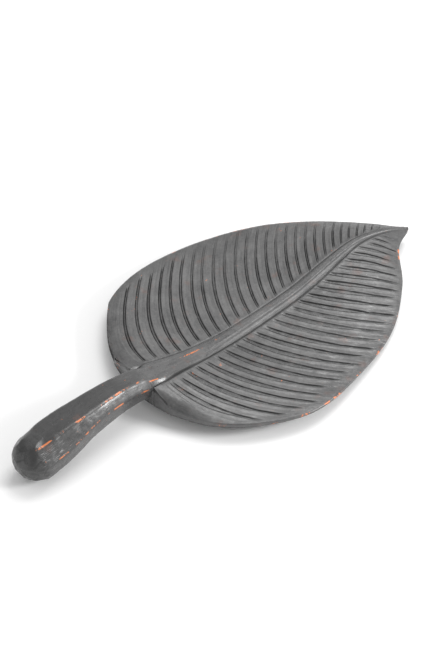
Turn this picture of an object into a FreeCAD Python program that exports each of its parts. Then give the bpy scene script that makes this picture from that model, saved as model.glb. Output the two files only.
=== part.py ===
import FreeCAD, Part

import math
import os

from FreeCAD import Placement, Rotation, Vector

# A carved wooden leaf tray with a club handle. The leaf is two dished boards glued to either side
# of one long stick, which is the handle at one end and the leaf's raised midrib at the other.
# Cross dowels pass through the stick into both boards.
#
# Everything is drawn level with the leaf (x across, y from handle to tip, z up) and then tilted
# onto the table, where it rests on the handle's bulb and on a flat worked under the belly.

doc = FreeCAD.newDocument("leaf_tray")
sheet = doc.addObject("Spreadsheet::Sheet", "dims")

DIMENSIONS = {
    # overall layout, along the leaf
    "handle_end": -105.0,
    "blade_tip": 330.0,
    "blade_half_width_left": 115.2,
    "blade_half_width_right": 114.4,
    "blank_depth": 60.0,
    # midrib
    "neck_half_width": 15.3,
    "tip_half_width": 1.2,
    # handle
    "bulb_radius": 21.2,
    "bulb_centre_y": -84.2,
    "bulb_centre_z": -6.3,
    # joinery
    "dowel_radius": 2.5,
    "dowel_length": 40.0,
    "dowel_first_y": 62.0,
    "dowel_pitch": 44.0,
    "glue_gap": 0.05,
    # the flats worked where the tray touches the table
    "bulb_flat_depth": 0.4,
    "belly_flat_y": 165.0,
    "belly_flat_depth": 0.8,
}
DOWEL_COUNT = 5

for row, (alias, value) in enumerate(DIMENSIONS.items(), start=1):
    sheet.set(f"A{row}", alias)
    sheet.set(f"B{row}", str(value))
    sheet.setAlias(f"B{row}", alias)
doc.recompute()


def dim(alias):
    return float(sheet.get(alias))


# Outline of the leaf in plan, as (half width from the midrib, y) from the neck round to the tip.
RIM_OUTLINE = {
    -1: [
        (dim("neck_half_width"), 27.2), (33.9, 29.3), (68.6, 46.4), (100.9, 73.2),
        (dim("blade_half_width_left"), 119.9), (110.3, 180.3), (89.4, 238.1), (56.7, 277.9),
        (23.1, 306.3), (dim("tip_half_width"), dim("blade_tip")),
    ],
    1: [
        (dim("neck_half_width"), 27.2), (33.7, 29.9), (68.5, 46.5), (96.2, 76.3),
        (dim("blade_half_width_right"), 120.0), (107.3, 179.6), (88.9, 237.8), (57.5, 278.7),
        (21.8, 304.9), (dim("tip_half_width"), dim("blade_tip")),
    ],
}

# Profiles along the leaf, as (y, value) stations read with a smooth curve.
CREASE_HEIGHT = [  # where the boards meet the midrib
    (20, 11.0), (35, 9.9), (50, 7.0), (70, 3.4), (95, 0.0), (130, -1.6), (165, -1.0), (200, 0.6),
    (225, 4.4), (250, 9.8), (275, 14.6), (300, 13.6), (330, 6.7),
]
RIM_TOP = [
    (27.2, -1.0), (31, -2.0), (46, -2.8), (74, -2.0), (120, -1.6), (180, -3.4), (238, -3.8),
    (278, 1.2), (306, 7.4), (330, 6.7),
]
RIM_BOTTOM = [
    (27.2, -11.0), (31, -9.5), (46, -8.0), (74, -6.5), (120, -5.6), (180, -7.2), (238, -7.8),
    (278, -2.4), (306, 4.2), (330, 3.7),
]
KEEL = [  # lowest line of the underside, under the midrib
    (27, -13.0), (60, -15.5), (100, -16.5), (140, -17.1), (180, -15.5), (220, -9.5), (250, 1.0),
    (275, 7.5), (300, 8.0), (330, 3.5),
]
SHOULDER_SPREAD = [(40, 14.0), (60, 3.0)]  # the least width over which a board falls to its rim
MIDRIB_SWAY = [(-60, 0.0), (66, 0.0), (140, -1.4), (198, -3.7), (245, -5.9), (275, -5.6), (305, -1.2), (330, 5.5)]
MIDRIB_HALF_WIDTH = {  # out to the joint with each board, left and right
    -1: [
        (20, 15.6), (27.2, dim("neck_half_width")), (35, 14.6), (50, 12.3), (62, 10.8), (80, 9.0), (100, 7.4),
        (120, 6.2), (150, 5.5), (200, 4.8), (235, 4.2), (260, 3.4), (280, 2.6), (300, 1.8),
        (330, dim("tip_half_width")),
    ],
    1: [
        (20, 15.6), (27.2, dim("neck_half_width")), (35, 14.6), (50, 12.4), (62, 11.0), (80, 9.6), (100, 8.9),
        (140, 8.9), (180, 8.8), (210, 8.4), (235, 7.8), (260, 6.0), (280, 4.3), (300, 2.6),
        (330, dim("tip_half_width")),
    ],
}
# the flat along the top of the midrib: its rise over the boards, half width and sideways shift
SPINE_RISE = [(20, 6.5), (30, 5.0), (40, 2.8), (50, 2.0), (70, 1.6), (90, 2.0), (110, 2.8), (150, 2.2), (330, 0.8)]
SPINE_HALF_WIDTH = [
    (16, 8.9), (30, 8.0), (50, 7.8), (60, 6.9), (70, 6.0), (80, 4.8), (90, 3.6), (100, 2.8),
    (120, 2.1), (200, 1.9), (260, 1.4), (300, 0.9), (330, 0.3),
]
SPINE_SHIFT = [(16, 2.5), (30, 3.0), (60, 3.5), (80, 3.0), (95, 1.8), (120, 1.0), (260, 0.6), (330, 0.0)]
# handle sections after the bulb: y, centre height, half width, half height
HANDLE_SECTIONS = [
    (-62.0, -1.6, 21.0, 20.8), (-34.0, 4.8, 17.7, 17.5), (-6.0, 7.5, 15.5, 15.5), (16.0, 7.0, 14.5, 14.5),
    (28.0, 4.5, 14.2, 13.2), (42.0, -1.0, 9.0, 9.0),
]
# The handle is cut in seven long facets: the direction each one faces and its distance from the
# centre as a share of the section's size. The top one and the chamfer beside it vary along y.
TOP_FACET = [(-84, 0.93), (-60, 0.90), (0, 0.88), (16, 0.79), (28, 0.86)]
CHAMFER = [(-84, 0.98), (-60, 1.00), (-35, 1.10), (-8, 1.08), (16, 1.00)]
SIDE_FACETS = [(-12, 0.95), (-60, 0.97), (-105, 0.95), (-155, 0.96), (155, 0.97)]


def along(stations, y):
    """The value at y on the smooth curve through the stations (cubic, averaged slopes)."""
    count = len(stations)
    slopes = []
    for i in range(count):
        before = stations[max(i - 1, 0)]
        after = stations[min(i + 1, count - 1)]
        slopes.append((after[1] - before[1]) / (after[0] - before[0]))
    y = min(max(y, stations[0][0]), stations[-1][0])
    i = 0
    while i < count - 2 and y > stations[i + 1][0]:
        i += 1
    (y0, v0), (y1, v1) = stations[i], stations[i + 1]
    step = y1 - y0
    u = (y - y0) / step
    ease = u * u * (3 - 2 * u)
    return (
        v0 * (1 - ease) + v1 * ease
        + step * u * (1 - u) ** 2 * slopes[i]
        - step * u * u * (1 - u) * slopes[i + 1]
    )


def rim_half_width(y, side):
    return along([(at, half) for half, at in RIM_OUTLINE[side]], y)


def leaf_top(x, y, side):
    """Height of a board's upper face at a distance x from the midrib line."""
    crease = along(MIDRIB_HALF_WIDTH[side], y)
    spread = max(rim_half_width(y, side) - crease, along(SHOULDER_SPREAD, y))
    share = min(max((x - crease) / spread, 0.0), 1.1)
    high = along(CREASE_HEIGHT, y)
    return high + (along(RIM_TOP, y) - high) * share ** 1.3


def leaf_bottom(x, y, side):
    share = min(x / rim_half_width(y, side), 1.0)
    low = along(RIM_BOTTOM, y)
    return low + (along(KEEL, y) - low) * (1 - share ** 2) ** 1.3


def checked_add(kind, name):
    obj = doc.addObject(kind, name)
    obj.Label = name
    return obj


def spline(points):
    curve = Part.BSplineCurve()
    curve.interpolate(points)
    return curve.toShape()


SECTION_YS = [20, 27, 32, 39, 48, 60, 76, 96, 120, 146, 174, 200, 224, 246, 264, 280, 296, 314, 334]
BOARD_SHARES = [-0.15, 0.02, 0.12, 0.3, 0.5, 0.7, 0.86, 1.0, 1.1]
MIDRIB_SHARES = [-1.15, -0.6, 0.0, 0.6, 1.15]
LEAST_SPREAD = 22.0


def leaf_section(y, side):
    """One closed cross-section of a board at y, a little wider than the board itself."""
    sway = along(MIDRIB_SWAY, y)
    crease = along(MIDRIB_HALF_WIDTH[side], y)
    spread = max(rim_half_width(y, side) - crease, LEAST_SPREAD)
    xs = [crease + share * spread for share in BOARD_SHARES]
    upper = [Vector(sway + side * x, y, leaf_top(x, y, side)) for x in xs]
    lower = [Vector(sway + side * x, y, leaf_bottom(abs(x), y, side)) for x in xs]
    inner = Part.makeLine(upper[0], lower[0])
    outer = Part.makeLine(lower[-1], upper[-1])
    return Part.Wire([spline(upper), outer, spline(lower), inner])


def midrib_section(y):
    """One closed cross-section of the midrib: a flat top between two bevels, and the keel."""
    sway = along(MIDRIB_SWAY, y)
    rise = along(SPINE_RISE, y)
    high = along(CREASE_HEIGHT, y)
    shift = along(SPINE_SHIFT, y)
    flat = along(SPINE_HALF_WIDTH, y)
    crease = {side: along(MIDRIB_HALF_WIDTH[side], y) for side in (-1, 1)}
    flat_edge = {side: shift + side * flat for side in (-1, 1)}
    top = []
    for side in (-1, 1):
        edge = Vector(sway + flat_edge[side], y, high + rise)
        beyond = Vector(sway + side * 1.15 * crease[side], y, 0)
        bevel = crease[side] - abs(flat_edge[side])
        beyond.z = high - rise * 0.15 * crease[side] / bevel
        top += [beyond, edge] if side < 0 else [edge, beyond]
    lower = []
    for share in MIDRIB_SHARES:
        side = 1 if share > 0 else -1
        x = share * crease[side]
        lower.append(Vector(sway + x, y, leaf_bottom(abs(x), y, side)))
    edges = [Part.makeLine(top[0], top[1]), Part.makeLine(top[1], top[2]), Part.makeLine(top[2], top[3])]
    edges += [Part.makeLine(top[3], lower[-1]), spline(lower), Part.makeLine(lower[0], top[0])]
    return Part.Wire(Part.sortEdges(edges)[0])


def handle_corners(y, centre, half_width, half_height):
    """The corners of one upright section of the handle, where neighbouring facets meet."""
    facets = [(97, along(TOP_FACET, y)), (38, along(CHAMFER, y))] + SIDE_FACETS
    corners = []
    for (angle, reach), (next_angle, next_reach) in zip(facets, facets[1:] + facets[:1]):
        a = math.radians(angle)
        b = math.radians(next_angle)
        turn = math.sin(b - a)
        x = (reach * math.sin(b) - next_reach * math.sin(a)) / turn
        z = (next_reach * math.cos(a) - reach * math.cos(b)) / turn
        corners.append(Vector(half_width * x, y, centre + half_height * z))
    return corners


def handle_section(y, centre, half_width, half_height):
    corners = handle_corners(y, centre, half_width, half_height)
    return Part.makePolygon(corners + corners[:1])


def board_slab(name, sections):
    """The dished slab that a plan outline is cut from, lofted through its cross-sections."""
    slab = checked_add("Part::Feature", name)
    slab.Shape = Part.makeLoft(sections, True, False)
    return slab


def plan_curve(side, stations, gap=0.0):
    """A curve in plan at a half width from the swaying midrib line; side is -1 left, +1 right."""
    points = [Vector(along(MIDRIB_SWAY, y) + side * (half + gap), y, 0) for half, y in stations]
    curve = Part.BSplineCurve()
    curve.interpolate(points)
    return curve


def midrib_edge(side, gap=0.0):
    stations = [(half, y) for y, half in MIDRIB_HALF_WIDTH[side] if y >= 27.2]
    return plan_curve(side, stations, gap)


def blank(name, curves):
    """A plan outline drawn in a sketch and extruded through the whole depth of the slab."""
    sketch = checked_add("Sketcher::SketchObject", name + "_outline")
    for curve in curves:
        sketch.addGeometry(curve, False)
    solid = checked_add("Part::Extrusion", name + "_blank")
    solid.Base = sketch
    solid.DirMode = "Custom"
    solid.Dir = Vector(0, 0, 1)
    solid.Solid = True
    solid.setExpression("LengthFwd", "dims.blank_depth")
    solid.setExpression("LengthRev", "dims.blank_depth")
    return solid


def line(start, end):
    return Part.LineSegment(start, end)


def common(name, base, tool):
    obj = checked_add("Part::Common", name)
    obj.Base = base
    obj.Tool = tool
    return obj


def cut(name, base, tool):
    obj = checked_add("Part::Cut", name)
    obj.Base = base
    obj.Tool = tool
    return obj


def fuse(name, shapes):
    obj = checked_add("Part::MultiFuse", name)
    obj.Shapes = shapes
    return obj


# ---------------------------------------------------------------- table plane

def table_plane():
    """Tilt of the table in degrees and its height below the leaf's origin, in leaf axes."""
    bulb_y = dim("bulb_centre_y")
    bulb = handle_corners(bulb_y, dim("bulb_centre_z"), dim("bulb_radius"), dim("bulb_radius"))
    bulb_z = min(corner.z for corner in bulb) + dim("bulb_flat_depth")
    belly_y = dim("belly_flat_y")
    belly_z = along(KEEL, belly_y) + dim("belly_flat_depth")
    slope = (belly_z - bulb_z) / (belly_y - bulb_y)
    return math.degrees(math.atan(slope)), bulb_z - slope * bulb_y


tilt, table_height = table_plane()
TABLE_SIZE = 600.0
TABLE_DEPTH = 60.0
table = checked_add("Part::Box", "table_cut")
table.Length = TABLE_SIZE
table.Width = TABLE_SIZE
table.Height = TABLE_DEPTH
table_turn = Rotation(Vector(1, 0, 0), tilt)
table.Placement = Placement(
    Vector(0, 0, table_height) + table_turn.multVec(Vector(-TABLE_SIZE / 2, -TABLE_SIZE / 2, -TABLE_DEPTH)),
    table_turn,
)

# ---------------------------------------------------------------- dowels

dowel_ys = [dim("dowel_first_y") + dim("dowel_pitch") * i for i in range(DOWEL_COUNT)]


def dowel_centre(y):
    """A little below half way between the boards' top and the keel."""
    return Vector(along(MIDRIB_SWAY, y), y, 0.45 * along(CREASE_HEIGHT, y) + 0.55 * along(KEEL, y))


def cross_cylinder(name, y, radius, length):
    """A cylinder lying across the leaf, centred on the midrib; radius and length are expressions."""
    rod = checked_add("Part::Cylinder", name)
    rod.setExpression("Radius", radius)
    rod.setExpression("Height", length)
    doc.recompute()
    across = Rotation(Vector(0, 1, 0), 90)
    rod.Placement = Placement(dowel_centre(y) - Vector(rod.Height.Value / 2, 0, 0), across)
    return rod


dowels = []
bores = []
for number, y in enumerate(dowel_ys, start=1):
    dowels.append(cross_cylinder(f"dowel_{number}", y, "dims.dowel_radius", "dims.dowel_length"))
    bores.append(cross_cylinder(
        f"bore_{number}", y, "dims.dowel_radius + dims.glue_gap", "dims.dowel_length + 2 * dims.glue_gap"))
dowel_bores = fuse("dowel_bores", bores)

# ---------------------------------------------------------------- leaf halves

def leaf_half(name, side):
    edge = midrib_edge(side, dim("glue_gap"))
    neck, *between, tip = RIM_OUTLINE[side]
    rim_stations = [(neck[0] + dim("glue_gap"), neck[1])] + between + [(tip[0] + dim("glue_gap"), tip[1])]
    rim = plan_curve(side, rim_stations)
    outline = blank(name, [edge, rim])
    slab = board_slab(name + "_slab", [leaf_section(y, side) for y in SECTION_YS])
    board = common(name + "_board", outline, slab)
    drilled = cut(name + "_drilled", board, dowel_bores)
    return cut(name, drilled, table)


left_half = leaf_half("leaf_half_left", -1)
right_half = leaf_half("leaf_half_right", 1)

# ---------------------------------------------------------------- stalk: handle and midrib

CAP_ANGLES = [9, 32, 52, 72, 90]
handle_sections = []
cap_length = dim("bulb_centre_y") - dim("handle_end")
for angle in CAP_ANGLES:
    reach = math.radians(angle)
    y = dim("bulb_centre_y") - cap_length * math.cos(reach)
    radius = dim("bulb_radius") * math.sin(reach)
    handle_sections.append(handle_section(y, dim("bulb_centre_z"), radius, radius))
for y, centre, half_width, half_height in HANDLE_SECTIONS:
    handle_sections.append(handle_section(y, centre, half_width, half_height))
handle = board_slab("handle_club", handle_sections)

left_edge = midrib_edge(-1)
right_edge = midrib_edge(1)
midrib_outline = blank("midrib", [
    left_edge,
    line(left_edge.EndPoint, right_edge.EndPoint),
    right_edge,
    line(right_edge.StartPoint, left_edge.StartPoint),
])
midrib_slab = board_slab("midrib_slab", [midrib_section(y) for y in SECTION_YS])
midrib_bar = common("midrib_bar", midrib_outline, midrib_slab)
stalk_raw = fuse("stalk_raw", [handle, midrib_bar])
stalk_drilled = cut("stalk_drilled", stalk_raw, dowel_bores)
stalk = cut("stalk", stalk_drilled, table)

# ---------------------------------------------------------------- set on the table, check, write

nodes = [stalk, left_half, right_half] + dowels
doc.recompute()

level = Placement(Vector(0, 0, 0), Rotation(Vector(1, 0, 0), -tilt))
box = FreeCAD.BoundBox()
for node in nodes:
    resting = node.Shape.copy()
    resting.transformShape(level.toMatrix(), True)
    box.add(resting.optimalBoundingBox(True, False))
table_level = table_height * math.cos(math.radians(tilt))
rest = Placement(Vector(-box.Center.x, -box.Center.y, -table_level), Rotation()).multiply(level)
for node in nodes:
    node.Placement = rest.multiply(node.Placement)
doc.recompute()

for obj in doc.Objects:
    if "Invalid" in obj.State or "Error" in obj.State:
        raise RuntimeError(f"{obj.Label} failed: {obj.State}")

os.makedirs("parts", exist_ok=True)
for node in nodes:
    shape = node.Shape
    if shape.isNull() or not shape.isValid() or shape.Volume <= 0:
        raise RuntimeError(f"{node.Label} has no valid shape")
    shape.exportStep(os.path.join("parts", node.Label + ".step"))
    bounds = shape.optimalBoundingBox(True, False)
    print(f"{node.Label}: {len(shape.Solids)} solid, {shape.Volume / 1000:.1f} cm3, "
          f"x {bounds.XMin:.1f}..{bounds.XMax:.1f}, y {bounds.YMin:.1f}..{bounds.YMax:.1f}, "
          f"z {bounds.ZMin:.2f}..{bounds.ZMax:.1f}")
print(f"table tilt {tilt:.3f} degrees, rest placement {rest.Base}")
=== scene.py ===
import math

import bpy
import numpy as np
from mathutils import Matrix, Vector, noise


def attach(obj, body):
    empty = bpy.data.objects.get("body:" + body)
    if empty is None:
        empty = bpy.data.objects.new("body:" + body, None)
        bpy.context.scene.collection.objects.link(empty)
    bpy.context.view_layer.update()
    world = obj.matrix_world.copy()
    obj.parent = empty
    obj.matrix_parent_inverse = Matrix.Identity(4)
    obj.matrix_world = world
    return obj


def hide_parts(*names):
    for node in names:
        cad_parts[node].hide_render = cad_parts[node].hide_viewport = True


# The looks of a carved leaf tray: two boards with carved veins either side of one faceted stalk,
# in worn graphite paint over copper. Lengths are millimetres in the leaf's own level frame, and
# every mesh is then set down on the table and brought to metres.

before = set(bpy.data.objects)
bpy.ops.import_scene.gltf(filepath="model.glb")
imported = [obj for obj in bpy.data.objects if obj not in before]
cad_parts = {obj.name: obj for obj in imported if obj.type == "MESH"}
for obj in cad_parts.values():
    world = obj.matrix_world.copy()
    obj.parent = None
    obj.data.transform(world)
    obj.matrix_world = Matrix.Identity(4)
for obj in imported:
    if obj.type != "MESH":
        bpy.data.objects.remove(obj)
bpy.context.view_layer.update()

MM = 0.001
RNG = np.random.default_rng(7)

# ---------------------------------------------------------------- shared shape, as in the CAD model

TILT = 2.745
LEAF_ORIGIN = Vector((1.456, -112.468, 23.604))
LEAF_TO_REST = Matrix.Translation(LEAF_ORIGIN) @ Matrix.Rotation(-math.radians(TILT), 4, "X")

RIM_OUTLINE = {  # half width and y from the neck round to the tip, left and right
    -1: [
        (15.3, 27.2), (33.9, 29.3), (68.6, 46.4), (100.9, 73.2), (115.2, 119.9), (110.3, 180.3),
        (89.4, 238.1), (56.7, 277.9), (23.1, 306.3), (1.2, 330.0),
    ],
    1: [
        (15.3, 27.2), (33.7, 29.9), (68.5, 46.5), (96.2, 76.3), (114.4, 120.0), (107.3, 179.6),
        (88.9, 237.8), (57.5, 278.7), (21.8, 304.9), (1.2, 330.0),
    ],
}
# profiles along the leaf, as (y, value): heights of the midrib joint, the rim's two edges and the
# keel, then the spread of the shoulder and the sway and half width of the midrib
CREASE_HEIGHT = [
    (20, 11.0), (35, 9.9), (50, 7.0), (70, 3.4), (95, 0.0), (130, -1.6), (165, -1.0), (200, 0.6),
    (225, 4.4), (250, 9.8), (275, 14.6), (300, 13.6), (330, 6.7),
]
RIM_TOP = [
    (27.2, -1.0), (31, -2.0), (46, -2.8), (74, -2.0), (120, -1.6), (180, -3.4), (238, -3.8),
    (278, 1.2), (306, 7.4), (330, 6.7),
]
RIM_BOTTOM = [
    (27.2, -11.0), (31, -9.5), (46, -8.0), (74, -6.5), (120, -5.6), (180, -7.2), (238, -7.8),
    (278, -2.4), (306, 4.2), (330, 3.7),
]
KEEL = [
    (27, -13.0), (60, -15.5), (100, -16.5), (140, -17.1), (180, -15.5), (220, -9.5), (250, 1.0),
    (275, 7.5), (300, 8.0), (330, 3.5),
]
SHOULDER_SPREAD = [(40, 14.0), (60, 3.0)]  # the least width over which a board falls to its rim
MIDRIB_SWAY = [
    (-60, 0.0), (66, 0.0), (140, -1.4), (198, -3.7), (245, -5.9), (275, -5.6), (305, -1.2), (330, 5.5),
]
MIDRIB_HALF_WIDTH = {
    -1: [
        (20, 15.6), (27.2, 15.3), (35, 14.6), (50, 12.3), (62, 10.8), (80, 9.0), (100, 7.4), (120, 6.2),
        (150, 5.5), (200, 4.8), (235, 4.2), (260, 3.4), (280, 2.6), (300, 1.8), (330, 1.2),
    ],
    1: [
        (20, 15.6), (27.2, 15.3), (35, 14.6), (50, 12.4), (62, 11.0), (80, 9.6), (100, 8.9), (140, 8.9),
        (180, 8.8), (210, 8.4), (235, 7.8), (260, 6.0), (280, 4.3), (300, 2.6), (330, 1.2),
    ],
}
# the flat along the top of the midrib: its rise over the boards, half width and sideways shift
SPINE_RISE = [
    (20, 6.5), (30, 5.0), (40, 2.8), (50, 2.0), (70, 1.6), (90, 2.0), (110, 2.8), (150, 2.2), (330, 0.8),
]
SPINE_HALF_WIDTH = [
    (16, 8.9), (30, 8.0), (50, 7.8), (60, 6.9), (70, 6.0), (80, 4.8), (90, 3.6), (100, 2.8),
    (120, 2.1), (200, 1.9), (260, 1.4), (300, 0.9), (330, 0.3),
]
SPINE_SHIFT = [(16, 2.5), (30, 3.0), (60, 3.5), (80, 3.0), (95, 1.8), (120, 1.0), (260, 0.6), (330, 0.0)]
BLADE_BASE = 27.2
BLADE_TIP = 330.0
FALL_POWER = 1.3  # how the boards curve from the midrib to the rim, above and below
SHARE_LIMIT = 1.1  # the upper face carries on this far, where the rim is at 1


def along(stations, y):
    """Values at y on the smooth curve through the stations (cubic, averaged slopes)."""
    at = np.array([p[0] for p in stations], float)
    value = np.array([p[1] for p in stations], float)
    last = len(at) - 1
    before = np.maximum(np.arange(last + 1) - 1, 0)
    after = np.minimum(np.arange(last + 1) + 1, last)
    slope = (value[after] - value[before]) / (at[after] - at[before])
    y = np.clip(y, at[0], at[-1])
    i = np.clip(np.searchsorted(at, y) - 1, 0, last - 1)
    step = at[i + 1] - at[i]
    u = (y - at[i]) / step
    ease = u * u * (3 - 2 * u)
    bend = step * u * (1 - u) ** 2 * slope[i] - step * u * u * (1 - u) * slope[i + 1]
    return value[i] * (1 - ease) + value[i + 1] * ease + bend


def rim_half_width(y, side):
    return along([(at, half) for half, at in RIM_OUTLINE[side]], y)


def leaf_top(x, y, side):
    """Height of a board's upper face at a distance x from the midrib line."""
    crease = along(MIDRIB_HALF_WIDTH[side], y)
    spread = np.maximum(rim_half_width(y, side) - crease, along(SHOULDER_SPREAD, y))
    share = np.clip((x - crease) / spread, 0, SHARE_LIMIT)
    high = along(CREASE_HEIGHT, y)
    return high + (along(RIM_TOP, y) - high) * share ** FALL_POWER


def leaf_bottom(x, y, side):
    """Height of a board's underside at a distance x from the midrib line."""
    share = np.clip(x / rim_half_width(y, side), 0, 1)
    low = along(RIM_BOTTOM, y)
    return low + (along(KEEL, y) - low) * (1 - share ** 2) ** FALL_POWER


def smoothstep(low, high, value):
    u = np.clip((value - low) / (high - low), 0, 1)
    return u * u * (3 - 2 * u)


def window(start, full, fade, end, value):
    """Rises from start to full and falls away from fade to end."""
    return smoothstep(start, full, value) * (1 - smoothstep(fade, end, value))


def bump_line(distance, width):
    """One on a line and fading smoothly to either side of it."""
    return np.exp(-(distance / width) ** 2)


def grain(points, scale, seed):
    """Smooth noise from -1 to 1 at each point, scale in millimetres."""
    offset = Vector((seed * 17.3, seed * 5.1, seed * 9.7))
    flat = points.reshape(-1, 3) / scale
    values = [noise.noise(Vector(p) + offset) for p in flat]
    return np.array(values).reshape(points.shape[:-1])


# ---------------------------------------------------------------- mesh helpers

def to_rest(points):
    """Leaf millimetres to metres on the table, with the underside worked flat where it touches."""
    turn = np.array(LEAF_TO_REST.to_3x3())
    placed = points.reshape(-1, 3) @ turn.T + np.array(LEAF_TO_REST.translation)
    placed[:, 2] = np.maximum(placed[:, 2], 0.0)
    return placed * MM


def tube(name, points, fields):
    """A closed mesh from rows of closed loops, points[row, column], with a float attribute per field."""
    rows, columns = points.shape[:2]
    mesh = bpy.data.meshes.new(name)
    index = np.arange(rows * columns).reshape(rows, columns)
    a = index[:-1]
    b = index[1:]
    quads = np.stack([a, np.roll(a, -1, 1), np.roll(b, -1, 1), b], -1).reshape(-1, 4)
    faces = quads.tolist()
    faces.append(index[0][::-1].tolist())
    faces.append(index[-1].tolist())
    mesh.from_pydata(to_rest(points).tolist(), [], faces)
    for field, values in fields.items():
        attribute = mesh.attributes.new(field, "FLOAT", "POINT")
        attribute.data.foreach_set("value", np.asarray(values, np.float32).ravel())
    mesh.validate()
    mesh.polygons.foreach_set("use_smooth", [True] * len(mesh.polygons))
    obj = bpy.data.objects.new(name, mesh)
    bpy.context.scene.collection.objects.link(obj)
    return obj


# ---------------------------------------------------------------- carved veins

FIRST_VEIN = 44.0
BASE_PITCH = 11.0
TIP_PITCH = 8.0
VEIN_SLOPE = [(20, 0.02), (44, 0.08), (120, 0.20), (209, 0.48), (286, 0.82), (330, 1.05)]
VEIN_BEND = {-1: 0.0050, 1: 0.0038}
BAND_SHARE = 0.085  # half the recessed channel of a vein, as a share of the pitch
CUT_WIDTH = 0.038  # of one chisel cut, as a share of the pitch
FIRST_CUT_DEPTH = 0.9
SECOND_CUT_DEPTH = 0.8
CHANNEL_DEPTH = 0.75
SCOOP_DEPTH = 0.3  # of the shallow hollow between two veins
CREASE_DEPTH = 0.8
UNEVEN_LIMIT = 0.25
SKIN_CLEARANCE = 0.3  # sinks the upper face, so that what is uneven stays under the CAD surface
RIM_TRIM = 0.9975  # keeps the rim inside the CAD outline

# the mesh: rows lie along the veins, with samples close together at the cuts
HALF_SAMPLES = [0.025, 0.05, 0.07, 0.085, 0.10, 0.12, 0.145, 0.18, 0.23, 0.29, 0.36, 0.43]
VEIN_SAMPLES = [-0.5] + [-f for f in reversed(HALF_SAMPLES)] + HALF_SAMPLES
BASE_ROWS = 18
# shares of the way from the midrib to the rim
INNER_SHARES = [0, 0.005, 0.010, 0.016, 0.024, 0.034]
OUTER_SHARES = [0.960, 0.970, 0.978, 0.985, 0.992, 1.0]
MIDDLE_COLUMNS = 82
UNDER_COLUMNS = 26
EDGE_STEPS = [(0.25, -0.04), (0.5, 0.08), (0.75, 0.3), (0.92, 0.7)]  # share of the rim's depth, inset
RIM_SAMPLES = 900
HALVINGS = 40  # in the search for the vein that meets each rim point


def vein_starts():
    """Where each vein leaves the midrib, from the base to the tip, a little uneven."""
    starts = [FIRST_VEIN]
    while starts[-1] < BLADE_TIP - 8:
        share = smoothstep(140, 300, starts[-1])
        pitch = BASE_PITCH * (1 - share) + TIP_PITCH * share
        starts.append(starts[-1] + pitch * (1 + RNG.uniform(-0.07, 0.07)))
    return np.array(starts)


def vein_y(s, u, side):
    """The course of the vein that starts at s, at u beyond the midrib's edge."""
    return s + along(VEIN_SLOPE, s) * u + VEIN_BEND[side] * u * u


def rim_points(count, side):
    """Dense points on the rim, as arrays of half width and y, from the neck to the tip."""
    knots = np.array(RIM_OUTLINE[side])
    length = np.concatenate([[0], np.cumsum(np.hypot(*np.diff(knots, axis=0).T))])
    at = np.linspace(0, length[-1], count)
    widths = along(list(zip(length, knots[:, 0])), at)
    ys = along(list(zip(length, knots[:, 1])), at)
    return widths, ys


def rim_by_vein(s_lines, side):
    """How far each vein line runs before it meets the rim."""
    widths, ys = rim_points(RIM_SAMPLES, side)
    reach = np.maximum(widths - along(MIDRIB_HALF_WIDTH[side], ys), 0)
    low = np.full(len(ys), -40.0)
    high = np.full(len(ys), BLADE_TIP + 1)
    for _ in range(HALVINGS):
        middle = (low + high) / 2
        under = vein_y(middle, reach, side) < ys
        low = np.where(under, middle, low)
        high = np.where(under, high, middle)
    return np.interp(s_lines, np.maximum.accumulate(low), reach)


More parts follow.
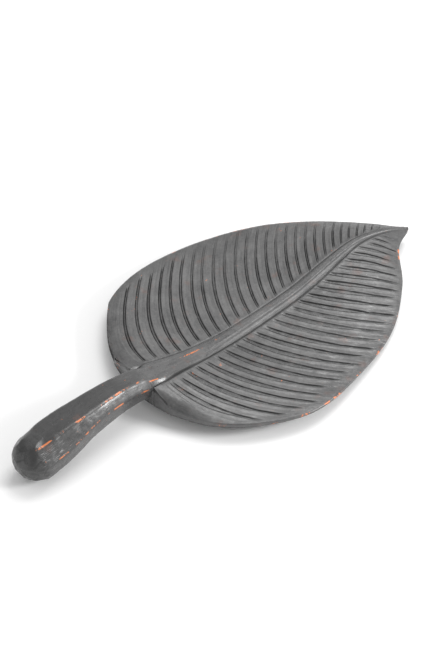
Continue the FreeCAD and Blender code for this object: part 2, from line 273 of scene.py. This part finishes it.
def leaf_half(name, side):
    """One carved board; side is -1 for left and 1 for right of the midrib."""
    starts = vein_starts()
    veins = len(starts)
    knots = np.concatenate([[starts[0] - BASE_PITCH], starts])
    base_lines = np.linspace(BLADE_BASE + 0.02, starts[0] - 5.9, BASE_ROWS)
    vein_of = np.repeat(np.arange(veins), len(VEIN_SAMPLES))
    offset_of = np.tile(VEIN_SAMPLES, veins)
    vein_lines = np.interp(vein_of + offset_of, np.arange(-1, veins), knots)
    kept = vein_lines < BLADE_TIP - 0.2
    nominal = np.concatenate([base_lines, vein_lines[kept]])
    vein = np.concatenate([np.zeros(len(base_lines), int), vein_of[kept]])[:, None]
    offset = np.concatenate([np.full(len(base_lines), -0.5), offset_of[kept]])[:, None]
    carved = np.concatenate([np.zeros(len(base_lines)), np.ones(kept.sum())])[:, None]
    reach = rim_by_vein(nominal, side)[:, None]

    middle_shares = np.linspace(0.045, 0.95, MIDDLE_COLUMNS)
    share = np.concatenate([INNER_SHARES, middle_shares, OUTER_SHARES])[None, :]
    u = reach * share
    row = nominal[:, None] + 0 * u

    # the two cuts of each vein wander a little; the mesh lines follow them
    wobble = grain(np.stack([u / 2.4, row, 0 * u + side * 30], -1), 9.0, 1)
    slow = grain(np.stack([u, row, 0 * u + side * 50], -1), 30.0, 2)
    middle = np.sin(share * math.pi)
    widened = 0.15 * middle ** 0.5
    if side > 0:
        widened = 1.5 * np.sin(np.minimum(share / 0.7, 1) * math.pi) ** 0.7
    band = BAND_SHARE * (1 + widened + (0.22 * wobble + 0.16 * slow) * middle ** 0.5)
    inside = np.abs(offset) <= BAND_SHARE
    moved_in = np.abs(offset) * band / BAND_SHARE
    moved_out = band + (np.abs(offset) - BAND_SHARE) * (0.5 - band) / (0.5 - BAND_SHARE)
    moved = np.sign(offset) * np.where(inside, moved_in, moved_out)
    s = np.where(carved > 0, np.interp(vein + moved, np.arange(-1, veins), knots), row)
    y = vein_y(s, u, side)
    half = along(MIDRIB_HALF_WIDTH[side], y)
    x = half + u * RIM_TRIM
    pitch = np.gradient(starts)[vein]
    d = moved * pitch
    band = band * pitch

    # each vein starts and ends at its own distance from the midrib and the rim
    onset = RNG.uniform(1.0, 5.0, veins)[vein]
    upper = smoothstep(140, 240, y)
    border = 7.5 * (1 - upper) + 1.2 * upper + RNG.uniform(-2.0, 3.0, veins)[vein]
    from_rim = reach - u
    tail = RNG.uniform(3.0, 10.0, veins)[vein]
    life = smoothstep(onset - 1.0, onset + 4.0, u) * smoothstep(border - 1.0, border + tail, from_rim)
    small = smoothstep(0, 22, reach)
    life = life * small * carved
    if side < 0:
        life = life * (1 - 0.55 * smoothstep(0.35, 0.9, share) * smoothstep(80, 130, s))

    # two chisel cuts with a channel between them, pressed unevenly
    chisel = grain(np.stack([u, vein * 37.0 + 0 * u, 0 * u + side * 70], -1), 7.0, 6)
    chisel_two = grain(np.stack([u, vein * 41.0 + 0 * u, 0 * u + side * 90], -1), 6.0, 7)
    press = RNG.uniform(0.75, 1.2, veins)[vein]
    press_two = RNG.uniform(0.55, 1.15, veins)[vein]
    cut_width = CUT_WIDTH * pitch
    first = bump_line(d + band, cut_width) * press * np.clip(1 + 0.7 * chisel, 0.15, 1.5)
    second = bump_line(d - band, cut_width) * press_two * np.clip(1 + 0.8 * chisel_two, 0.1, 1.5)
    within = 1 - smoothstep(band - 0.35, band + 0.45, np.abs(d))
    scoop = np.clip(1 - (pitch / 2 - np.abs(d)) / (pitch / 2 - band), 0, 1) ** 2 * (1 - within)
    depth = FIRST_CUT_DEPTH * first + SECOND_CUT_DEPTH * second + CHANNEL_DEPTH * within + SCOOP_DEPTH * scoop
    depth = depth * life

    crease = bump_line(u - 0.5, 0.7) * smoothstep(32, 44, y) * small
    away_from_tip = smoothstep(0, 12, reach)
    position = np.stack([x, y, 0 * x + side * 9], -1)
    uneven = (0.20 * grain(position, 9.0, 3) + 0.09 * grain(position, 3.0, 8)) * away_from_tip
    ripple = 0.10 * grain(np.stack([u / 6.0, s, 0 * x + side * 4], -1), 1.6, 9) * away_from_tip
    rim_round = 0.9 * (1 - smoothstep(0, 1.8, from_rim)) * smoothstep(0, 8, reach)
    top = leaf_top(x, y, side) - depth - CREASE_DEPTH * crease - rim_round - SKIN_CLEARANCE
    top = top + np.minimum(uneven + ripple, UNEVEN_LIMIT)

    sway = along(MIDRIB_SWAY, y)
    upper_face = np.stack([sway + side * x, y, top], -1)

    # the rim's edge, then the underside back to the midrib
    edge_x = x[:, -1]
    edge_y = y[:, -1]
    edge_top = top[:, -1]
    edge_bottom = leaf_bottom(edge_x, edge_y, side)
    edge_rows = []
    for drop, inset in EDGE_STEPS:
        z = edge_top * (1 - drop) + edge_bottom * drop
        edge_rows.append(np.stack([sway[:, -1] + side * (edge_x - inset), edge_y, z], -1))
    edge = np.stack(edge_rows, 1)

    under_share = np.concatenate([[0.985], np.linspace(0.95, 0, UNDER_COLUMNS)])[None, :]
    under_u = reach * under_share
    under_y = vein_y(nominal[:, None] + 0 * under_u, under_u, side)
    under_x = along(MIDRIB_HALF_WIDTH[side], under_y) + under_u
    tool_marks = 0.3 * grain(np.stack([under_x, under_y, 0 * under_x - 40], -1), 14.0, 5) + 0.3
    under_z = leaf_bottom(under_x, under_y, side) + tool_marks * away_from_tip
    lower_face = np.stack([along(MIDRIB_SWAY, under_y) + side * under_x, under_y, under_z], -1)

    points = np.concatenate([upper_face, edge, lower_face], 1)

    def field(top_values, edge_value=0.0, under_value=0.0):
        edge_part = np.full((len(nominal), edge.shape[1]), edge_value)
        under_part = np.full((len(nominal), lower_face.shape[1]), under_value)
        return np.concatenate([top_values + 0 * x, edge_part, under_part], 1)

    # the right half is darkest in its channels near the midrib, partly painted shade, and darker by the neck;
    # it is brushed pale towards the rim, partly a painted highlight; the left half is darker along its rim
    if side > 0:
        band_shade = (1.15 - 0.85 * share) * np.clip(0.75 - 0.45 * d / band, 0, 1)
        shade = 0.38 * (1 - smoothstep(34, 46, s)) + 0 * x
        rub_and_highlight_mask = smoothstep(0.40, 0.80, share) * window(120, 170, 255, 290, y)
    else:
        band_shade = 0.55 + 0 * x
        shade = 0.30 * smoothstep(0.72, 0.95, share) * (1 - smoothstep(190, 260, y))
        rub_and_highlight_mask = 0.12 * smoothstep(0.3, 0.7, share) + 0 * x
    rim_near = np.clip(1 - from_rim / 2.6, 0, 1) * smoothstep(0, 8, reach)
    fields = {
        # the cuts and the crease by the midrib go near black: base coat left in them, with painted shade in
        # these recesses
        "cut": field(np.clip((first + second) * life * 1.3 + 0.9 * crease, 0, 1)),
        "band": field(within * life * band_shade),
        "ridge": field((1 - within) * life),
        "rub_and_highlight": field(rub_and_highlight_mask),
        "rim": field(rim_near, 1.0, 0.0),
        "line": field(0.0),
        "shade": field(shade),
        "under": field(0.0, 0.25, 1.0),
        "tone": field(RNG.uniform(-1, 1, veins)[vein]),
        "along": field(u, 50.0, 50.0),
        "across": field(s),
    }
    if side > 0:
        points = points[:, ::-1]
        fields = {key: value[:, ::-1] for key, value in fields.items()}
    return tube(name, points, fields)


# ---------------------------------------------------------------- stalk

BULB_RADIUS = 21.1
BULB_Y = -84.2
BULB_Z = -6.3
HANDLE_END = -105.0
HANDLE_SECTIONS = [  # y, centre height, half width, half height
    (BULB_Y, BULB_Z, BULB_RADIUS, BULB_RADIUS), (-62.0, -1.6, 20.9, 20.7), (-34.0, 4.8, 17.6, 17.4),
    (-6.0, 7.5, 15.4, 15.4), (16.0, 7.0, 14.4, 14.4), (28.0, 4.5, 14.1, 13.1), (42.0, -1.0, 9.0, 9.0),
]
# the facets of the handle: the way each one faces and its distance from the centre
TOP_ANGLE = 97
CHAMFER_ANGLE = 34
TOP_FACET = [(-84, 0.93), (-60, 0.90), (0, 0.88), (16, 0.79), (28, 0.86)]
CHAMFER = [(-84, 0.98), (-60, 1.02), (-35, 1.14), (-8, 1.12), (16, 1.02)]
SIDE_FACETS = [(-12, 0.95), (-60, 0.97), (-105, 0.95), (-155, 0.96), (155, 0.97)]
CORNER_SHARPNESS = 18
HANDLE_TRIM = 0.992  # shrinks the handle a little, so that its lumps stay inside the CAD handle
CAP_FACETS = 100
CAP_FACET_REACH = BULB_RADIUS - 0.9
RING = 128
CAP_ROWS = 60
HANDLE_ROWS = 150
BLADE_ROWS = 330


def corner_angle(angle_a, reach_a, angle_b, reach_b):
    """Direction of the corner where two neighbouring facets meet."""
    a = math.radians(angle_a)
    b = math.radians(angle_b)
    x = (reach_a * math.sin(b) - reach_b * math.sin(a)) / math.sin(b - a)
    z = (reach_b * math.cos(a) - reach_a * math.cos(b)) / math.sin(b - a)
    return np.arctan2(z, x)


def tool_marked_cap(points, y):
    """Cuts small flat tool facets all over the end of the bulb; also returns the seams between them."""
    centre_point = np.array([0, BULB_Y, BULB_Z])
    spoke = points - centre_point
    distance = np.linalg.norm(spoke, axis=-1)
    direction = spoke / np.maximum(distance, 1e-6)[..., None]
    normals = RNG.normal(size=(CAP_FACETS, 3))
    normals /= np.linalg.norm(normals, axis=1, keepdims=True)
    support = CAP_FACET_REACH * RNG.uniform(0.985, 1.012, CAP_FACETS)
    lean = direction @ normals.T
    limits = np.sort(np.where(lean > 0.5, support / np.maximum(lean, 0.5), 1e3), axis=-1)
    fade = 1 - smoothstep(-90, -72, y)
    distance = distance * (1 - fade) + np.minimum(distance, limits[..., 0]) * fade
    seam = np.clip(1 - (limits[..., 1] - limits[..., 0]) / 0.42, 0, 1) * (1 - smoothstep(-94, -80, y))
    seam = seam * np.clip(0.6 + 1.6 * grain(points, 7.0, 14), 0, 1)
    return centre_point + direction * (distance - 0.3 * seam)[..., None], seam


def stalk_piece(name):
    """The handle, neck and midrib in one piece."""
    cap = BULB_Y - (BULB_Y - HANDLE_END) * np.cos(np.linspace(0.18, math.pi / 2, CAP_ROWS))
    handle = np.linspace(BULB_Y, BLADE_BASE - 0.05, HANDLE_ROWS)[1:]
    blade = BLADE_BASE + (BLADE_TIP - BLADE_BASE) * np.linspace(0, 1, BLADE_ROWS)
    ys = np.concatenate([cap, handle, blade])
    angle = np.linspace(0, 2 * math.pi, RING, endpoint=False)
    y = ys[:, None] + 0 * angle[None, :]
    theta = angle[None, :] + 0 * ys[:, None]

    centre = along([(p[0], p[1]) for p in HANDLE_SECTIONS], ys)
    wide = along([(p[0], p[2]) for p in HANDLE_SECTIONS], ys)
    tall = along([(p[0], p[3]) for p in HANDLE_SECTIONS], ys)
    reach = np.clip((BULB_Y - ys) / (BULB_Y - HANDLE_END), 0, 1)
    roundness = np.sqrt(np.maximum(1 - reach ** 2, 0))

    top_facet = along(TOP_FACET, y)
    chamfer = along(CHAMFER, y)
    total = 0
    for facing, distance in [(TOP_ANGLE, top_facet), (CHAMFER_ANGLE, chamfer)] + SIDE_FACETS:
        lean = np.maximum(np.cos(theta - math.radians(facing)), 0)
        total = total + (lean / distance) ** CORNER_SHARPNESS
    radius = total ** (-1 / CORNER_SHARPNESS) * HANDLE_TRIM * roundness[:, None]
    upper_corner = corner_angle(TOP_ANGLE, top_facet, CHAMFER_ANGLE, chamfer)
    lower_corner = corner_angle(CHAMFER_ANGLE, chamfer, *SIDE_FACETS[0])

    handle_x = wide[:, None] * np.cos(theta) * radius
    handle_z = centre[:, None] + tall[:, None] * np.sin(theta) * radius

    # in the blade: a flat top between two bevels, and the keel below
    half = np.where(np.cos(theta) < 0, along(MIDRIB_HALF_WIDTH[-1], y), along(MIDRIB_HALF_WIDTH[1], y))
    bar_x = half * np.cos(theta)
    shift = along(SPINE_SHIFT, y)
    flat = along(SPINE_HALF_WIDTH, y)
    left_edge = shift - flat
    right_edge = shift + flat
    left_bevel = np.clip((bar_x + half) / (half + left_edge), 0, 2)
    hollow = 1 + 1.8 * smoothstep(85, 125, y)  # past the neck the right bevel is a scooped gutter
    right_bevel = np.clip((half - bar_x) / (half - right_edge), 0, 2) ** hollow
    bevel = np.minimum(np.minimum(left_bevel, right_bevel), 1)
    soft = 0.12 * bump_line(bevel - 1, 0.10)
    on_top = np.sin(theta) >= 0
    groove = 0.5 * bump_line(half - np.abs(bar_x), 0.5) * smoothstep(34, 60, y)
    bar_top = along(CREASE_HEIGHT, y) + along(SPINE_RISE, y) * (bevel - soft) - groove
    bar_bottom = np.minimum(leaf_bottom(np.abs(bar_x), y, 1), bar_top)
    drop = np.minimum(1.0, np.abs(np.sin(theta)) * 6)
    bar_z = np.where(on_top, bar_top, bar_top * (1 - drop) + bar_bottom * drop)

    joined = smoothstep(20, 44, y)
    in_blade = y >= BLADE_BASE - 0.001
    top_x = handle_x * (1 - joined) + bar_x * joined
    top_z = handle_z * (1 - joined) + bar_z * joined
    x = np.where(in_blade, np.where(on_top, top_x, bar_x), handle_x)
    z = np.where(in_blade, np.where(on_top, top_z, bar_z), handle_z)

    points = np.stack([along(MIDRIB_SWAY, y) + x, y, z], -1)
    outward = np.stack([np.cos(theta), 0 * theta, np.sin(theta)], -1)
    lumps = grain(points, 18.0, 11) * 0.30 + grain(points, 5.0, 12) * 0.16
    quiet = 1 - 0.7 * smoothstep(30, 110, y)
    points = points + outward * (lumps * quiet - 0.25 * quiet)[..., None]

    points, seam = tool_marked_cap(points, y)

    # where the paint is worn, rubbed or dark: the end of the bulb darker in patches, painted shade over the
    # handle, in the gutter and in the creases by the midrib, and a painted highlight along the chamfer
    bulb_end_dark = np.clip(0.45 + 1.7 * grain(points, 8.0, 15), 0, 1) * (1 - smoothstep(-95, -78, y))

    def stripe(at, width):
        apart = np.mod(theta - at + math.pi, 2 * math.pi) - math.pi
        return bump_line(apart * wide[:, None], width)

    on_handle = (1 - smoothstep(14, 34, y)) * smoothstep(-98, -88, y)
    chamfer_line = np.maximum(stripe(upper_corner, 0.8), stripe(lower_corner, 0.7)) * on_handle
    between = (theta < upper_corner) & (theta > lower_corner)
    in_leaf = smoothstep(14, 34, y) * on_top
    crest_line = bump_line(bar_x - left_edge, 0.8) * window(66, 76, 112, 130, y)
    neck_line = bump_line(bar_x - right_edge, 0.6) * window(24, 28, 42, 50, y)
    # painted shade in the gutter right of the spine, and near-black lines in the creases where the midrib
    # meets the boards and along the gutter, also painted shade
    gutter_shade = smoothstep(right_edge + 0.5, right_edge + 2.0, bar_x) * smoothstep(80, 120, y) * on_top
    side_cut = bump_line(half - np.abs(bar_x), 0.55) * smoothstep(32, 46, y) * on_top
    gutter = bump_line(bar_x - right_edge - 1.3, 0.6) * window(95, 125, 270, 310, y) * on_top
    side_cut = np.maximum(side_cut, 0.6 * gutter)
    # painted shade over the handle, held back on the chamfer where the painted highlight runs
    handle_shade = (1 - smoothstep(-6, 44, y)) * (1 - 0.4 * between * on_handle)
    fields = {
        "cut": np.clip(side_cut + seam, 0, 1),
        "band": 0 * y,
        "ridge": 0.35 * in_leaf,
        "rim": 0 * y,
        "line": np.clip(chamfer_line + (crest_line + neck_line) * on_top, 0, 1),
        # a painted highlight along the handle's chamfer, brightest towards the bulb, laid on as pale rubbed
        # paint
        "rub_and_highlight": between * on_handle * (0.35 + 0.75 * (1 - smoothstep(-56, -34, y))),
        "shade": handle_shade + 0.30 * gutter_shade + 0.45 * bulb_end_dark,
        "under": np.where(np.sin(theta) < -0.2, 1.0, 0.0),
        "tone": 0 * y,
        "along": y + 200,
        "across": theta * wide[:, None],
    }
    return tube(name, points, fields)


# ---------------------------------------------------------------- materials

def new_material(name):
    material = bpy.data.materials.new(name)
    material.use_nodes = True
    nodes = material.node_tree.nodes
    nodes.clear()
    return material, nodes, material.node_tree.links


class Graph:
    """Short ways to add the nodes that these materials share."""

    def __init__(self, name):
        self.material, self.nodes, self.links = new_material(name)
        coordinates = self.nodes.new("ShaderNodeTexCoord")
        self.place = coordinates.outputs["Object"]

    def connect(self, value, socket):
        if isinstance(value, (int, float)):
            socket.default_value = value
        elif isinstance(value, tuple):
            socket.default_value = (*value, 1.0)
        else:
            self.links.new(value, socket)

    def attribute(self, name):
        node = self.nodes.new("ShaderNodeAttribute")
        node.attribute_name = name
        return node.outputs["Fac"]

    def math(self, kind, a, b=0.0, clamp=False):
        node = self.nodes.new("ShaderNodeMath")
        node.operation = kind
        node.use_clamp = clamp
        self.connect(a, node.inputs[0])
        self.connect(b, node.inputs[1])
        return node.outputs[0]

    def stretch(self, scale):
        node = self.nodes.new("ShaderNodeMapping")
        node.inputs["Scale"].default_value = scale
        self.links.new(self.place, node.inputs["Vector"])
        return node.outputs[0]

    def noise(self, scale, detail=4.0, rough=0.6, stretch=(1, 1, 1)):
        return self.noise_at(self.stretch(stretch), scale, detail, rough)

    def pair(self, a, scale_a, b, scale_b):
        """A point made of two scaled values, to lay a texture along a piece's own lines."""
        node = self.nodes.new("ShaderNodeCombineXYZ")
        self.links.new(self.math("MULTIPLY", a, scale_a), node.inputs["X"])
        self.links.new(self.math("MULTIPLY", b, scale_b), node.inputs["Y"])
        return node.outputs[0]

    def noise_at(self, point, scale, detail=4.0, rough=0.6):
        node = self.nodes.new("ShaderNodeTexNoise")
        node.inputs["Scale"].default_value = scale
        node.inputs["Detail"].default_value = detail
        node.inputs["Roughness"].default_value = rough
        self.links.new(point, node.inputs["Vector"])
        return node.outputs["Fac"]

    def remap(self, value, low, high, out_low=0.0, out_high=1.0):
        node = self.nodes.new("ShaderNodeMapRange")
        node.interpolation_type = "SMOOTHSTEP"
        self.connect(value, node.inputs["Value"])
        node.inputs["From Min"].default_value = low
        node.inputs["From Max"].default_value = high
        node.inputs["To Min"].default_value = out_low
        node.inputs["To Max"].default_value = out_high
        return node.outputs[0]

    def mix(self, share, a, b):
        node = self.nodes.new("ShaderNodeMix")
        node.data_type = "RGBA"
        self.connect(share, node.inputs["Factor"])
        self.connect(a, node.inputs[6])
        self.connect(b, node.inputs[7])
        return node.outputs[2]


GRAPHITE = (0.026, 0.026, 0.027)
GRAPHITE_LIGHT = (0.130, 0.129, 0.128)
# near black: the base coat in the cuts and channels, and the colour of painted shade
DARK_PAINT_AND_SHADE = (0.006, 0.006, 0.006)
COPPER = (0.62, 0.17, 0.045)
RUST = (0.13, 0.062, 0.045)
# pale grey: brushed paint and flecks, and the colour of painted highlights
CHALK_AND_HIGHLIGHT = (0.60, 0.60, 0.60)


def worn_graphite(name, lift, gloss):
    """Graphite paint over copper: darker in the cuts, brushed pale on the ridges, worn at the edges, with
    painted shade and painted highlights mixed in.
    """
    g = Graph(name)
    cut = g.attribute("cut")
    band = g.attribute("band")
    ridge = g.attribute("ridge")
    rim = g.attribute("rim")
    line = g.attribute("line")
    under = g.attribute("under")
    tone = g.attribute("tone")
    shade = g.attribute("shade")
    rub_and_highlight = g.attribute("rub_and_highlight")
    along_vein = g.attribute("along")
    across_vein = g.attribute("across")

    cloud = g.noise(20, 5, 0.62)
    mottle = g.noise(75, 5, 0.68)
    fine = g.noise(480, 3, 0.65)
    streak = g.noise_at(g.pair(along_vein, 0.045, across_vein, 0.55), 1.0, 5, 0.7)
    hair = g.noise_at(g.pair(along_vein, 0.12, across_vein, 2.4), 1.0, 3, 0.6)

    light = g.math("MULTIPLY", g.remap(cloud, 0.30, 0.70), 0.26)
    light = g.math("ADD", light, g.math("MULTIPLY", g.remap(mottle, 0.35, 0.65), 0.20))
    light = g.math("ADD", light, g.math("MULTIPLY", g.remap(streak, 0.32, 0.68), 0.26))
    light = g.math("ADD", light, g.math("MULTIPLY", g.math("SUBTRACT", hair, 0.5), 0.55))
    light = g.math("ADD", light, g.math("MULTIPLY", ridge, 0.14))
    light = g.math("ADD", light, g.math("MULTIPLY", tone, 0.05))
    light = g.math("ADD", light, g.math("MULTIPLY", g.math("SUBTRACT", fine, 0.5), 0.65))
    light = g.math("ADD", light, lift, clamp=True)
    colour = g.mix(light, GRAPHITE, GRAPHITE_LIGHT)
    # painted shade, where the shade attribute is set
    colour = g.mix(g.math("MULTIPLY", shade, 0.62), colour, DARK_PAINT_AND_SHADE)

    blotch = g.remap(g.noise(60, 3, 0.6), 0.58, 0.74)
    colour = g.mix(g.math("MULTIPLY", blotch, 0.38), colour, RUST)

    # the channels and cuts go near black: base coat left in them, with painted shade in these recesses
    grit = g.remap(g.noise(620, 4, 0.75), 0.44, 0.56)
    dark_band = g.math("MULTIPLY", band, g.math("ADD", g.math("MULTIPLY", grit, 0.65), 0.30))
    colour = g.mix(g.math("MULTIPLY", dark_band, 0.95), colour, DARK_PAINT_AND_SHADE)
    colour = g.mix(g.math("MULTIPLY", cut, g.remap(fine, 0.15, 0.6, 0.70, 1.0)), colour, DARK_PAINT_AND_SHADE)

    # pale brushed paint on the ridges, partly a painted highlight on the right half and along the handle's
    # chamfer
    rub_and_highlight_paint = g.math("MULTIPLY", g.remap(hair, 0.55, 0.72), g.remap(mottle, 0.42, 0.60))
    rub_and_highlight_paint = g.math("MULTIPLY", rub_and_highlight_paint, g.math("MULTIPLY", rub_and_highlight, 0.70))
    colour = g.mix(rub_and_highlight_paint, colour, CHALK_AND_HIGHLIGHT)

    edge_wear = g.math("MULTIPLY", g.remap(rim, 0.50, 0.95), g.remap(g.noise(55, 4, 0.75), 0.57, 0.61))
    line_wear = g.math("MULTIPLY", g.remap(line, 0.30, 0.70), g.remap(g.noise(60, 5, 0.8), 0.50, 0.55))
    wear = g.math("MAXIMUM", edge_wear, line_wear)
    stray = g.math("MULTIPLY", g.remap(g.noise(150, 3, 0.7), 0.71, 0.74), 0.6)
    wear = g.math("MAXIMUM", wear, stray)
    wear = g.math("MULTIPLY", wear, g.math("SUBTRACT", 1.0, g.math("MULTIPLY", under, 0.8)), clamp=True)
    colour = g.mix(wear, colour, COPPER)

    fleck = g.math("MULTIPLY", g.remap(g.noise(1000, 2, 0.5), 0.765, 0.80), 0.8)
    colour = g.mix(g.math("MULTIPLY", fleck, g.math("SUBTRACT", 1.0, cut)), colour, CHALK_AND_HIGHLIGHT)

    shader = g.nodes.new("ShaderNodeBsdfPrincipled")
    g.links.new(colour, shader.inputs["Base Color"])
    rough = g.remap(g.noise(140, 4, 0.65), 0.3, 0.7, gloss - 0.07, gloss + 0.12)
    rough = g.math("ADD", rough, g.math("MULTIPLY", cut, 0.3), clamp=True)
    g.links.new(rough, shader.inputs["Roughness"])
    shader.inputs["Specular IOR Level"].default_value = 0.6
    shader.inputs["Coat Weight"].default_value = 0.3
    shader.inputs["Coat Roughness"].default_value = 0.2

    height = g.math("ADD", g.math("MULTIPLY", mottle, 0.9), g.math("MULTIPLY", fine, 0.35))
    height = g.math("ADD", height, g.math("MULTIPLY", hair, 0.45))
    bump = g.nodes.new("ShaderNodeBump")
    bump.inputs["Strength"].default_value = 0.45
    bump.inputs["Distance"].default_value = 0.0006
    g.links.new(height, bump.inputs["Height"])
    g.links.new(bump.outputs[0], shader.inputs["Normal"])

    output = g.nodes.new("ShaderNodeOutputMaterial")
    g.links.new(shader.outputs[0], output.inputs["Surface"])
    return g.material


def bare_wood(name):
    """Straight-grained hardwood of the hidden dowels."""
    g = Graph(name)
    rings = g.noise(260, 5, 0.6, (0.08, 1, 1))
    pores = g.noise(1500, 2, 0.5, (0.1, 1, 1))
    colour = g.mix(g.remap(rings, 0.3, 0.7), (0.55, 0.38, 0.22), (0.78, 0.62, 0.42))
    colour = g.mix(g.math("MULTIPLY", g.remap(pores, 0.62, 0.7), 0.5), colour, (0.30, 0.18, 0.10))
    shader = g.nodes.new("ShaderNodeBsdfPrincipled")
    g.links.new(colour, shader.inputs["Base Color"])
    shader.inputs["Roughness"].default_value = 0.6
    bump = g.nodes.new("ShaderNodeBump")
    bump.inputs["Strength"].default_value = 0.2
    bump.inputs["Distance"].default_value = 0.0003
    g.links.new(pores, bump.inputs["Height"])
    g.links.new(bump.outputs[0], shader.inputs["Normal"])
    output = g.nodes.new("ShaderNodeOutputMaterial")
    g.links.new(shader.outputs[0], output.inputs["Surface"])
    return g.material


# ---------------------------------------------------------------- build the object

leaf_paint = worn_graphite("leaf_paint", 0.06, 0.42)
stalk_paint = worn_graphite("stalk_paint", 0.0, 0.30)
dowel_wood = bare_wood("dowel_wood")

pieces = [
    (leaf_half("carved_leaf_left", -1), "leaf_half_left", "painted_leaf", leaf_paint),
    (leaf_half("carved_leaf_right", 1), "leaf_half_right", "painted_leaf", leaf_paint),
    (stalk_piece("carved_stalk"), "stalk", "painted_stalk", stalk_paint),
]
for piece, node, slot, paint in pieces:
    piece.data.materials.append(paint)
    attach(piece, "root")
    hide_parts(node)

for node_name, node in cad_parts.items():
    if node_name.startswith("dowel"):
        node.data.materials.clear()
        node.data.materials.append(dowel_wood)

# ---------------------------------------------------------------- floor, light, camera

def floor_material():
    g = Graph("pale_floor")
    colour = g.mix(g.noise(3, 2, 0.4), (0.86, 0.86, 0.86), (0.89, 0.89, 0.89))
    shader = g.nodes.new("ShaderNodeBsdfPrincipled")
    g.links.new(colour, shader.inputs["Base Color"])
    shader.inputs["Roughness"].default_value = 0.8
    output = g.nodes.new("ShaderNodeOutputMaterial")
    g.links.new(shader.outputs[0], output.inputs["Surface"])
    return g.material


FLOOR_HALF = 6.0
floor_mesh = bpy.data.meshes.new("floor")
corner_signs = [(-1, -1), (1, -1), (1, 1), (-1, 1)]
floor_mesh.from_pydata([(x * FLOOR_HALF, y * FLOOR_HALF, 0.0) for x, y in corner_signs], [], [(0, 1, 2, 3)])
floor = bpy.data.objects.new("floor", floor_mesh)
bpy.context.scene.collection.objects.link(floor)
floor_mesh.materials.append(floor_material())

world = bpy.data.worlds.new("studio")
bpy.context.scene.world = world
world.use_nodes = True
world.node_tree.nodes["Background"].inputs["Color"].default_value = (1.0, 1.0, 1.0, 1.0)
world.node_tree.nodes["Background"].inputs["Strength"].default_value = 0.75

TARGET = Vector((0.0, 0.0, 0.02))


def softbox(name, azimuth, elevation, distance, size, power):
    """A rectangular area light that looks at the tray."""
    a = math.radians(azimuth)
    e = math.radians(elevation)
    back = Vector((math.sin(a) * math.cos(e), -math.cos(a) * math.cos(e), math.sin(e)))
    data = bpy.data.lights.new(name, "AREA")
    data.shape = "RECTANGLE"
    data.size, data.size_y = size
    data.energy = power
    lamp = bpy.data.objects.new(name, data)
    bpy.context.scene.collection.objects.link(lamp)
    lamp.location = TARGET + back * distance
    lamp.rotation_mode = "QUATERNION"
    lamp.rotation_quaternion = (-back).to_track_quat("-Z", "Y")
    return lamp


softbox("key", 123, 28, 1.6, (0.45, 0.35), 18)
softbox("top", 195, 66, 1.6, (0.9, 0.9), 13)
bpy.context.scene.view_settings.view_transform = "Standard"

# the camera is set in the leaf's level frame and carried onto the table with it
CAMERA_AZIMUTH = 48.7
CAMERA_ELEVATION = 43.0
CAMERA_DISTANCE = 2169.9
CAMERA_LOOKS_AT = Vector((-9.5, 121.9, 0.0))
a = math.radians(CAMERA_AZIMUTH)
e = math.radians(CAMERA_ELEVATION)
back = Vector((math.sin(a) * math.cos(e), -math.cos(a) * math.cos(e), math.sin(e)))
facing = (-back).to_track_quat("-Z", "Y").to_matrix().to_4x4()
level_camera = Matrix.Translation(CAMERA_LOOKS_AT + back * CAMERA_DISTANCE) @ facing
placed = LEAF_TO_REST @ level_camera
placed.translation = placed.translation * MM

camera_data = bpy.data.cameras.new("camera")
camera_data.lens = 139.0
camera_data.clip_end = 50
camera = bpy.data.objects.new("camera", camera_data)
bpy.context.scene.collection.objects.link(camera)
camera.matrix_world = placed
bpy.context.scene.camera = camera
bpy.context.view_layer.update()
